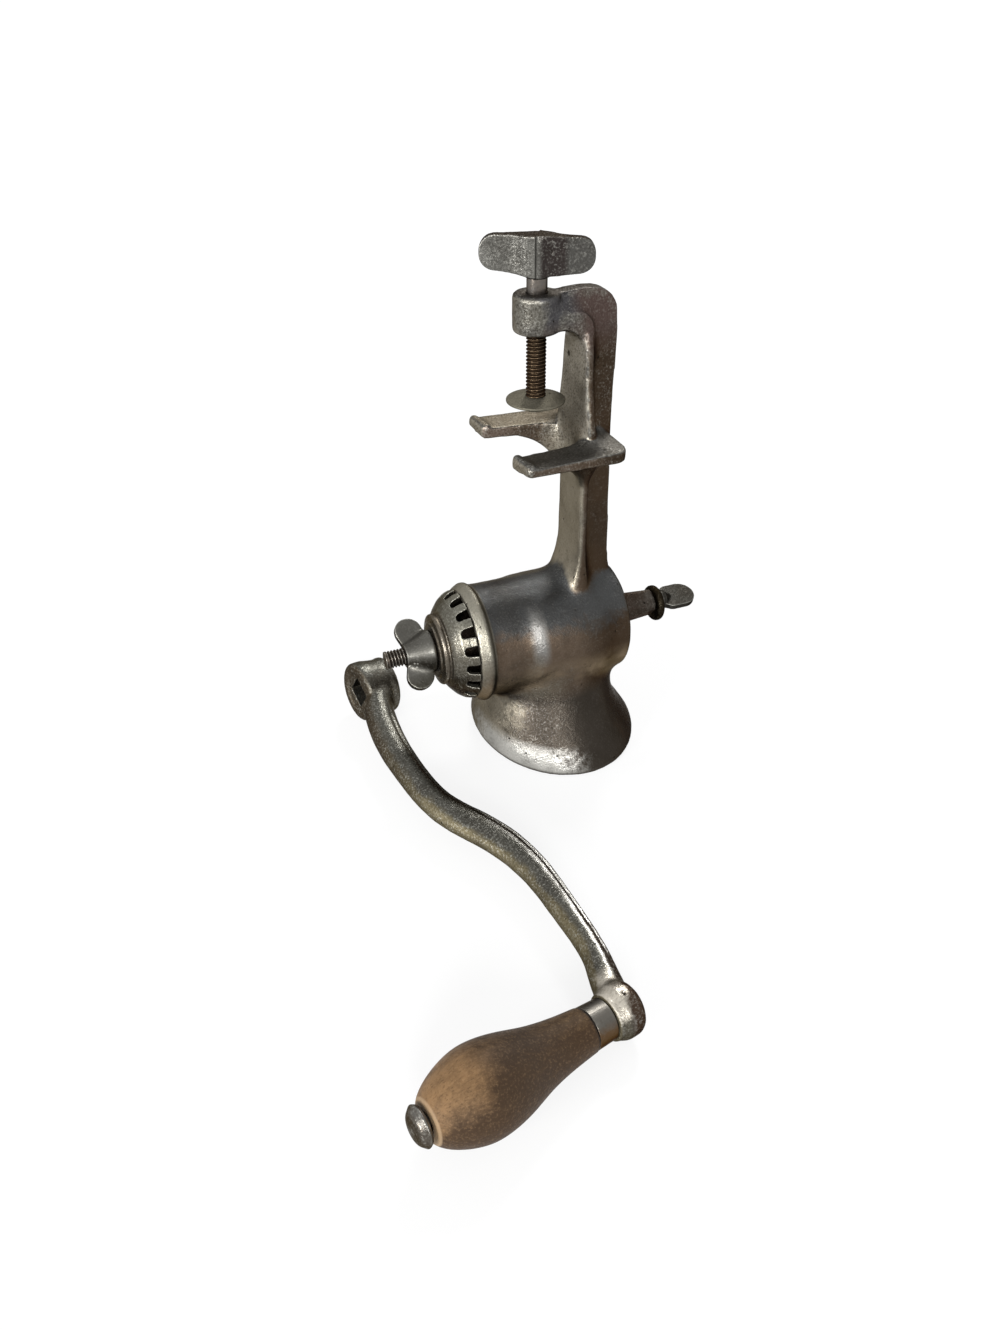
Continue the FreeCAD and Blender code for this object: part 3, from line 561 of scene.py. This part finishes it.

finishes = {
    "casting": worn_metal("worn_tinned_iron", IRON_SIDE, (
        ("Front", 0.0, -0.35, IRON_SHADED),
        ("Side", 0.3, 0.7, IRON_SHADED, "Along", 0, 13),
        ("Front", 0.1, 0.7, IRON_WINDOW_LIT),
        ("Front", 0.3, 0.7, IRON_PALE_LIT, "Height", 138, 160),
        # Painted shade on the post's near edge, over its highlight.
        ("Quarter", 0.84, 0.98, (0.06, 0.056, 0.05), "Height", 138, 148),
        # Painted reflection, pinkish brown on the far prong's side.
        ("Side", 0.3, 0.6, (0.14, 0.105, 0.082), "Across", 5, 8, "Along", -12, -17),
        ("Up", 0.06, -0.32, IRON_UNDER_LIT, "Height", 54, 44),
        ("Up", 0.40, 0.68, SLATE_REFLECTION, "Height", 38, 46),
        ("Side", 0.2, 0.6, SWELL_HIGHLIGHT, "Along", -21, -18, "Along", -12, -15,
         "Height", 50, 58, "Height", 75, 68),
        ("Side", 0.28, 0.62, HOPPER_SHADE, "Height", 37, 30),
        ("Up", 0.6, 0.85, JAW_NEAR_TOP_LIT, "Height", 120, 130),
        ("Up", 0.6, 0.85, JAW_FAR_TOP_LIT, "Across", 6, 14),
        ("Up", 0.5, 0.8, YOKE_TOP_REFLECTION, "Height", 186, 194),
        ("Side", 0.3, 0.7, YOKE_SIDE_REFLECTION, "Height", 184, 194),
        ("Side", 0.3, 0.7, YOKE_BEND_REFLECTION, "Along", 1, 7, "Height", 176, 190),
        # Painted light on the yoke's boss where it faces the window.
        ("Quarter", 0.55, 0.85, (0.125, 0.118, 0.10), "Height", 184, 194),
        ("Up", -0.2, 0.3, BEAD_TOP_LIT, "Along", -36.4, -37.6),
        # Painted shade on the bead's flank towards the barrel.
        ("Front", 0.2, -0.4, (0.06, 0.053, 0.04), "Along", -36.4, -37.6),
        ("Quarter", 0.60, 0.78, LIP_HIGHLIGHT, "Height", 13, 8, "Along", 2, -12),
        # Painted shade along the lip's bottom edge, where it rests on the floor.
        ("Quarter", -2.0, -1.9, (0.055, 0.048, 0.040), "Height", 2.2, 0.9),
    ), spark=0.14, speck=0.24, fine=0.24, rough=0.33, edge_gain=0.24, shaded=0.2, lively=126,
        holes=((-6.8, -28.0, 29.3, 1.0), (6.5, 5.0, 175.8, 1.7), (7.0, 7.0, 168.0, 0.9))),
    "crank": worn_metal("crank_tinned_iron", (0.10, 0.092, 0.075), (
        ("Front", 0.2, 0.7, (0.055, 0.044, 0.030)),
        # Painted light on the window side of the upper arm.
        ("Front", 0.05, 0.6, (0.125, 0.107, 0.066), "Across", -10, -45),
        ("Up", 0.72, 0.92, (0.080, 0.078, 0.067)),
        # Painted highlight along the arm's ridge.
        ("Front", -0.04, -0.16, ARM_RIDGE_HIGHLIGHT, "Across", -66, -96),
        # Painted highlight on the top of the boss.
        ("Up", 0.5, 0.8, (0.52, 0.48, 0.41), "Across", -157, -163),
        # Painted shade on the arm's right side near the hub.
        ("Front", -0.24, -0.42, (0.050, 0.040, 0.032), "Across", -16, -30),
        # Painted shade on the boss's right side.
        ("Front", 0.10, -0.22, (0.060, 0.040, 0.028), "Across", -163, -167),
    ), spark=0.45, speck=0.32, fine=0.2, rough=0.29, edge_gain=0.14, shaded=0.9,
        dull=("Front", 0.1, 0.45, 0.26)),
    "wing": worn_metal("sand_cast_wing", (0.034, 0.028, 0.026), (
        # Painted highlight left of the wing's step.
        ("Side", 0.2, 0.6, (0.128, 0.125, 0.113), "Along", -9.6, -11.6),
        # Painted highlight at the left wing's end.
        ("Side", 0.2, 0.6, (0.24, 0.235, 0.215), "Along", -26, -33),
        ("Side", 0.2, 0.6, (0.074, 0.072, 0.066), "Along", -1.6, 0.4),
        ("Up", 0.5, 0.8, (0.035, 0.031, 0.028)),
    ), spark=0.45, speck=0.5, coarse=0.14, fine=0.26, rough=0.34, edge_gain=0.2),
    "wing_nut": worn_metal("wing_nut_steel", (0.108, 0.105, 0.094), (
        # Painted shade where the nut faces down and towards its bottom.
        ("Up", 0.36, 0.0, (0.030, 0.027, 0.021)),
        ("Quarter", -2.0, -1.9, (0.050, 0.047, 0.038), "Height", 49, 45),
    ), spark=0.15, speck=0.2, coarse=0.06, fine=0.06, rough=0.36, edge_gain=0.8),
    "cutter": worn_metal("cutter_steel", (0.100, 0.092, 0.074), (
        # Painted shade underneath and painted light on top.
        ("Up", 0.0, -0.5, (0.032, 0.023, 0.014)),
        ("Up", 0.3, 0.8, (0.155, 0.150, 0.124)),
        ("Front", -0.6, -0.3, (0.116, 0.098, 0.076), "Along", -53.4, -54.6),
    ), spark=0.35, speck=0.4, coarse=0.08, fine=0.14, rough=0.27, edge_gain=0.4),
    "shaft": worn_metal("shaft_iron", (0.022, 0.014, 0.009), (
        ("Up", 0.5, 0.85, (0.036, 0.026, 0.020)),
        ("Up", -0.1, -0.5, (0.05, 0.025, 0.011)),
    ), spark=0.2, speck=0.5, coarse=0.3, fine=0.3, rough=0.42, edge_gain=0.15),
    "stud": worn_metal("stud_steel", (0.055, 0.044, 0.034),
                       spark=0.3, speck=0.4, coarse=0.05, fine=0.1, rough=0.32),
    "washer": worn_metal("washer_steel", (0.016, 0.012, 0.007),
                         bright=(0.08, 0.07, 0.05), dark=(0.004, 0.003, 0.002), rough=0.42),
    "thumb_screw": worn_metal("thumb_screw_steel", (0.028, 0.027, 0.024), spark=0.15, speck=0.3,
                              coarse=0.06, fine=0.1, rough=0.34, edge_gain=0.9),
    "pad": worn_metal("pad_steel", (0.125, 0.115, 0.088), bright=(0.2, 0.19, 0.15),
                      spark=0.3, speck=0.4, coarse=0.3, fine=0.4, rough=0.5, metallic=0.8),
    "screw": worn_metal("clamp_screw_steel", (0.034, 0.021, 0.013), (
        # Painted light where the screw faces the window.
        ("Quarter", 0.55, 0.95, (0.080, 0.050, 0.027)),
        ("Quarter", -2.0, -1.9, (0.125, 0.118, 0.112), "Height", 201.3, 201.9),
    ), bright=(0.2, 0.15, 0.1), spark=0.2, speck=0.4, coarse=0.05, fine=0.12, rough=0.3),
    "pin": worn_metal("pin_steel", (0.115, 0.100, 0.083), (
        # Painted light on the top of the head.
        ("Up", 0.55, 0.9, (0.155, 0.150, 0.139)),
    ), spark=0.4, speck=0.3, coarse=0.08, fine=0.12, rough=0.22),
    "ferrule": worn_metal("ferrule_steel", (0.105, 0.064, 0.034), (
        # Painted reflection, grey where it faces up, over the orange-brown body.
        ("Up", 0.35, 0.75, (0.12, 0.112, 0.098)),
    ), spark=0.1, speck=0.2, coarse=0.05, fine=0.05, rough=0.27),
    "wood": oiled_wood("oiled_hardwood"),
}


# Pieces

def casting():
    """One skin over the whole casting. Its hollow creases are filled, most where the swell, the
    jaw and the bend of the yoke run into the barrel and the post, and hardly at the barrel's bead."""
    holder = cast_copy("body_casting", "casting_skin", 0.7 * MM, 6)
    mesh = holder.data
    x, y, z = corners_of(mesh).T / MM
    outward = (normals_of(mesh)[:, :2] * np.stack([x - HOPPER_X, y], 1)).sum(1)
    from_feed = np.hypot(y, z - feed_centre.z / MM)
    inside = (from_feed < JOURNAL_BORE) | ((from_feed < BARREL_BORE) & (x < BARREL_BACK))
    inside |= (outward < 0) & (z < HOPPER_TOP)
    inside |= (np.hypot(x - screw_place.x / MM, y) < CLAMP_BORE) & (z > CLAMP_FOOT)
    barrel = np.interp(z, (12, 24, 100, 112), (0, 1, 1, 0))
    swell = np.interp(z, (60, 66, 82, 96), (0, 1, 1, 0))
    jaw = np.interp(z, (128, 136, 160, 176), (0, 1, 1, 0.3))
    yoke = np.interp(z, (170, 180), (0, 1))
    rounds = 30 + 150 * barrel + 230 * swell
    rounds += 230 * jaw * np.interp(x, (-20, -6), (0, 1))
    rounds += 260 * yoke * np.interp(x, (-4, 2), (0.1, 1))
    rounds *= np.interp(x, (-36.6, -34.5), (0.02, 1))
    fillets(mesh, np.where(inside, 0, rounds))
    pushed_out(mesh, lumps(mesh, 9 * MM, 1) * 0.12 * MM + lumps(mesh, 3.2 * MM, 2) * 0.06 * MM)
    thinned(holder, 0.66)
    held_inside(holder.data, "body_casting")
    placed(holder, "grinder", "casting", "body_casting")


def parting_line(mesh, turn, width, height):
    """Raised line along the arm where the two halves of its mould met, at an angle from its top."""
    x, y, z = corners_of(mesh).T / MM
    step = 3.0
    rows = np.arange(ARM_FOOT, ARM_ROOT, step)
    slices = [np.abs(y - row) < step / 2 for row in rows]

    def from_centre(values):
        """Place across the arm, -1 at one side and 1 at the other."""
        low = np.array([values[near].min() for near in slices])
        high = np.array([values[near].max() for near in slices])
        centre = np.interp(y, rows, (low + high) / 2)
        return (values - centre) / np.interp(y, rows, (high - low) / 2)

    right = from_centre(x)
    above = from_centre(z)
    angle = np.degrees(np.arctan2(right, above))
    fade = np.interp(y, (ARM_FOOT, ARM_FOOT + 12, ARM_ROOT - 10, ARM_ROOT), (0, 1, 1, 0))
    ridge = np.exp(-((angle - turn) / width) ** 2)
    groove = np.exp(-((angle - turn + 2.4 * width) / width) ** 2)
    return (ridge - 0.8 * groove) * height * fade


def crank():
    """The arm's hollows are filled, most at the boss, but not in the hub's socket or at the pin."""
    holder = cast_copy("crank_arm", "crank_skin", 0.45 * MM, 7)
    mesh = holder.data
    places = corners_of(mesh)
    rounds = 110 + 160 * np.interp(places[:, 1] / MM, (-158, -148), (1, 0))
    rounds *= np.interp(off_line(places, hub_face, grip_axis), (12.6, 13.6), (0, 1))
    rounds *= np.interp(off_line(places, grip_start, grip_axis), (5, 7), (0.1, 1))
    fillets(mesh, rounds)
    amounts = lumps(mesh, 8 * MM, 3) * 0.10 * MM + lumps(mesh, 2.6 * MM, 4) * 0.05 * MM
    amounts += parting_line(mesh, PARTING_TURN, 6.0, 0.32 * MM)
    pushed_out(mesh, amounts)
    held_inside(mesh, "crank_arm")
    placed(holder, "crank", "crank", "crank_arm")


def wings():
    """The sand-cast head of the clamp screw, and the cutter's smooth wing nut."""
    wing = cast_copy("clamp_wing", "wing_head_skin", 0.35 * MM, 4)
    pushed_out(wing.data, (lumps(wing.data, 3.5 * MM, 5) - 1) * 0.08 * MM)
    held_inside(wing.data, "clamp_wing")
    placed(wing, "screw", "wing", "clamp_wing")
    nut = cast_copy("cutter_wing_nut", "wing_nut_skin", 0.3 * MM, 7)
    y, z = corners_of(nut.data)[:, 1], corners_of(nut.data)[:, 2] - feed_centre.z
    fillets(nut.data, np.where(np.hypot(y, z) < NUT_BORE * MM, 0, 240))
    held_inside(nut.data, "cutter_wing_nut")
    placed(nut, "wing_nut", "wing_nut", "cutter_wing_nut")


def cutter():
    bell = cast_copy("rotary_cutter", "cutter_skin", 0.36 * MM, 2)
    placed(bell, "cutter", "cutter", "rotary_cutter")


def screws():
    low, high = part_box("clamp_screw")
    crest = (high.x - low.x) / 2
    foot = Vector((middle("clamp_screw").x, 0, low.z))
    length = high.z - low.z
    spindle = lathe("clamp_spindle", foot, Z_AXIS, [
        (0, crest - 0.6 * MM), (0.8 * MM, crest), (length - 0.1 * MM, crest),
        (length, crest - 0.1 * MM)], "screw", (2.6 * MM, 41.6 * MM, PITCH, THREAD_DEPTH))
    placed(spindle, "screw", "screw", "clamp_screw")
    low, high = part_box("cutter_stud")
    length = high.x - low.x
    inner = Vector((high.x, 0, feed_centre.z))
    stud = lathe("cutter_stud_thread", inner, -X_AXIS, [
        (0, crest), (length - 0.9 * MM, crest), (length, crest - 0.9 * MM)],
        "stud", (24 * MM, length - 0.2 * MM, PITCH, THREAD_DEPTH))
    placed(stud, "feed", "stud", "cutter_stud")


def thumb_screw():
    """The spade's edges are rounded, and its shank gets a thread that winds."""
    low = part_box("crank_thumb_screw")[0]
    mesh = frame["nodes"]["crank_thumb_screw"].data.copy()
    builder = bmesh.new()
    builder.from_mesh(mesh)
    bmesh.ops.remove_doubles(builder, verts=builder.verts, dist=MERGE)
    cut = Vector((low.x + SPADE_START * MM, 0, 0))
    bmesh.ops.bisect_plane(builder, geom=builder.verts[:] + builder.edges[:] + builder.faces[:],
                           plane_co=cut, plane_no=X_AXIS, clear_inner=True)
    bmesh.ops.holes_fill(builder, edges=builder.edges, sides=0)
    builder.to_mesh(mesh)
    builder.free()
    spade = linked("spade", mesh)
    softened(spade, 0.25 * MM, 4)
    shank = lathe("shank", Vector((low.x, 0, feed_centre.z)), X_AXIS, [
        (0, THUMB_R - 0.6 * MM), (0.6 * MM, THUMB_R), (SHANK_END * MM, THUMB_R)],
        "thumb_screw", (0.8 * MM, 11 * MM, THUMB_PITCH, THUMB_DEPTH), 32)
    skin = joined("thumb_screw_skin", spade, shank)
    placed(skin, "thumb_screw", "thumb_screw", "crank_thumb_screw")


def grip():
    wood = cast_copy("grip_wood", "grip_wood_skin", 0.7 * MM, 2)
    pushed_out(wood.data, lumps(wood.data, 14 * MM, 6) * 0.10 * MM)
    held_inside(wood.data, "grip_wood")
    placed(wood, "grip", "wood", "grip_wood")


casting()
crank()
wings()
cutter()
screws()
thumb_screw()
grip()
kept_as_built = {"feed_screw": "shaft", "thumb_screw_washer": "washer", "clamp_pad": "pad",
                 "grip_pin": "pin", "grip_ferrule": "ferrule"}
for node, slot in kept_as_built.items():
    finished(frame["nodes"][node], slot)


# Camera, lamps and floor

LENS = 27.88                           # millimetres, over a sensor as wide as the long side
SENSOR = 36.0
CAMERA_PLACE = (-0.16593, -0.36285, 0.30916)
CAMERA_RIGHT = (0.9310, -0.3650, -0.0080)
CAMERA_LOOK = (0.2946, 0.7640, -0.5741)
WORLD_GREY = (0.56, 0.56, 0.56)        # light on the object, where the world seen is white
FLOOR_GLOW = 0.82                      # share of the floor that is white to the camera
FLOOR_REACH = 12                       # metres


def camera():
    """Beside and above the cutter's end, turned as the photograph is."""
    data = bpy.data.cameras.new("camera")
    data.lens = LENS
    data.sensor_width = SENSOR
    data.clip_start = 0.02
    data.clip_end = 20.0
    holder = linked("camera", data)
    right = Vector(CAMERA_RIGHT).normalized()
    look = Vector(CAMERA_LOOK).normalized()
    up = right.cross(look).normalized()
    right = look.cross(up)
    turn = Matrix((right, up, -look)).transposed()
    holder.matrix_world = Matrix.Translation(CAMERA_PLACE) @ turn.to_4x4()
    scene.camera = holder


def sun(name, towards, power, angle):
    """Distant soft lamp, shining from the direction given."""
    data = bpy.data.lights.new(name, "SUN")
    data.energy = power
    data.angle = math.radians(angle)
    holder = linked(name, data)
    place = Vector(towards).normalized()
    turn = (-place).to_track_quat("-Z", "Y").to_matrix()
    holder.matrix_world = Matrix.Translation(place) @ turn.to_4x4()


def seen_rays(tree):
    """1 for rays from the camera and for rays that metal mirrors or glass lets through."""
    path = tree.nodes.new("ShaderNodeLightPath").outputs
    seen = maths(tree, "MAXIMUM", path["Is Camera Ray"], path["Is Glossy Ray"])
    return maths(tree, "MAXIMUM", seen, path["Is Transmission Ray"])


def studio():
    sun("window", (-0.93, -0.33, 0.27), 3.0, 22)
    sun("behind_camera", (-0.30, -0.92, 0.50), 2.2, 16)
    sun("overhead", (0.42, 0.60, 0.67), 1.4, 14)
    world = bpy.data.worlds.new("studio")
    scene.world = world
    world.use_nodes = True
    tree = world.node_tree
    colour = blended(tree, seen_rays(tree), WORLD_GREY, (1.0, 1.0, 1.0))
    tree.links.new(colour, tree.nodes["Background"].inputs["Color"])


def floor():
    mesh = bpy.data.meshes.new("floor")
    signs = ((-1, -1), (1, -1), (1, 1), (-1, 1))
    corners = [(x * FLOOR_REACH, y * FLOOR_REACH, 0) for x, y in signs]
    mesh.from_pydata(corners, [], [(0, 1, 2, 3)])
    sheet = linked("floor", mesh)
    material, tree, shader = new_material("floor")
    shader.inputs["Base Color"].default_value = (0.9, 0.9, 0.9, 1)
    shader.inputs["Roughness"].default_value = 0.8
    shader.inputs["Specular IOR Level"].default_value = 0.0
    glow = tree.nodes.new("ShaderNodeEmission")
    share = maths(tree, "MULTIPLY", seen_rays(tree), FLOOR_GLOW)
    mixed = wired(tree, "ShaderNodeMixShader", {0: share, 1: shader.outputs[0], 2: glow.outputs[0]})
    tree.links.new(mixed.outputs[0], tree.nodes["Material Output"].inputs["Surface"])
    mesh.materials.append(material)


camera()
studio()
floor()
